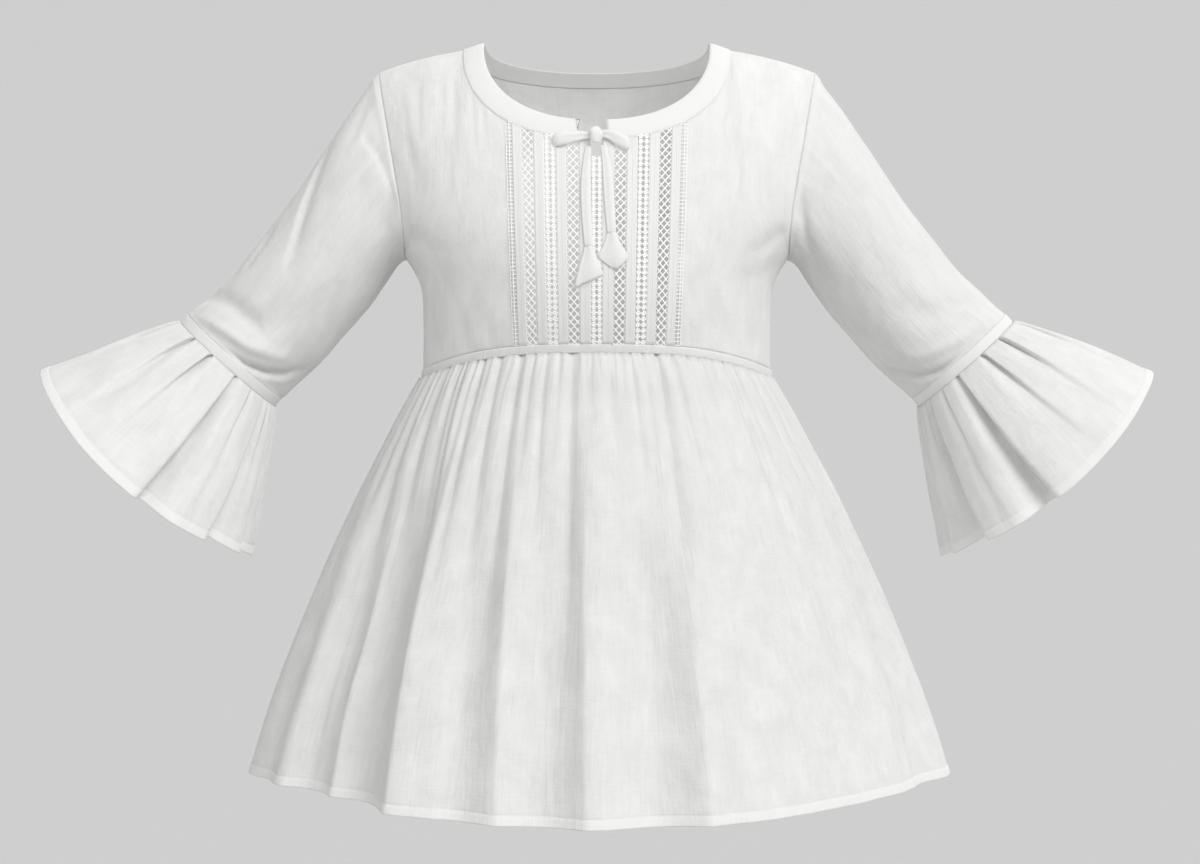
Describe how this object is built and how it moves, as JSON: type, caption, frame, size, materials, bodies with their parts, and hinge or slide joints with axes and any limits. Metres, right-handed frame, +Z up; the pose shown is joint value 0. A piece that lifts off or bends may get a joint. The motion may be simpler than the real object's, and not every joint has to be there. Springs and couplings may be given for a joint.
{
  "type": "peplum top",
  "caption": "Hollow peplum top with a round tied neckline, a bib of lace strips, a gathered empire skirt and flounced three-quarter sleeves.",
  "frame": {"origin": "midway between the shoulder seams, at the height where the cloth rests on the wearer's shoulders", "axes": "+X towards the sleeve on the right of someone who looks at the front, +Y from the front to the back, +Z up"},
  "size_m": [1.0164, 0.4656, 0.6977],
  "materials": {
    "cotton_gauze": "crinkled white cotton gauze, matt, slightly see-through",
    "cotton_net": "white cotton diamond net, see-through",
    "cotton_crochet": "white cotton crochet trim, raised",
    "cotton_tie": "flat white cotton tape, matt"
  },
  "bodies": {
    "root": {"bodice_front_left": "cotton_gauze", "bodice_front_right": "cotton_gauze", "bodice_back": "cotton_gauze", "sleeve_left": "cotton_gauze", "sleeve_right": "cotton_gauze", "cuff_band_left": "cotton_gauze", "cuff_band_right": "cotton_gauze", "flounce_left": "cotton_gauze", "flounce_right": "cotton_gauze", "neckband": "cotton_gauze", "waist_band": "cotton_gauze", "skirt_front": "cotton_gauze", "skirt_back": "cotton_gauze", "plain_strip_inner_left": "cotton_gauze", "plain_strip_middle_left": "cotton_gauze", "plain_strip_outer_left": "cotton_gauze", "plain_strip_edge_left": "cotton_gauze", "plain_strip_inner_right": "cotton_gauze", "plain_strip_middle_right": "cotton_gauze", "plain_strip_outer_right": "cotton_gauze", "plain_strip_edge_right": "cotton_gauze", "net_strip_inner_left": "cotton_net", "net_strip_outer_left": "cotton_net", "net_strip_inner_right": "cotton_net", "net_strip_outer_right": "cotton_net", "centre_crochet_strip": "cotton_crochet", "crochet_strip_left": "cotton_crochet", "crochet_edging_left": "cotton_crochet", "crochet_strip_right": "cotton_crochet", "crochet_edging_right": "cotton_crochet", "tie_knot": "cotton_tie", "tie_loop_left": "cotton_tie", "tie_loop_right": "cotton_tie", "tie_tail_left": "cotton_tie", "tie_tail_right": "cotton_tie", "tie_end_left": "cotton_tie", "tie_end_right": "cotton_tie"}
  },
  "joints": []
}
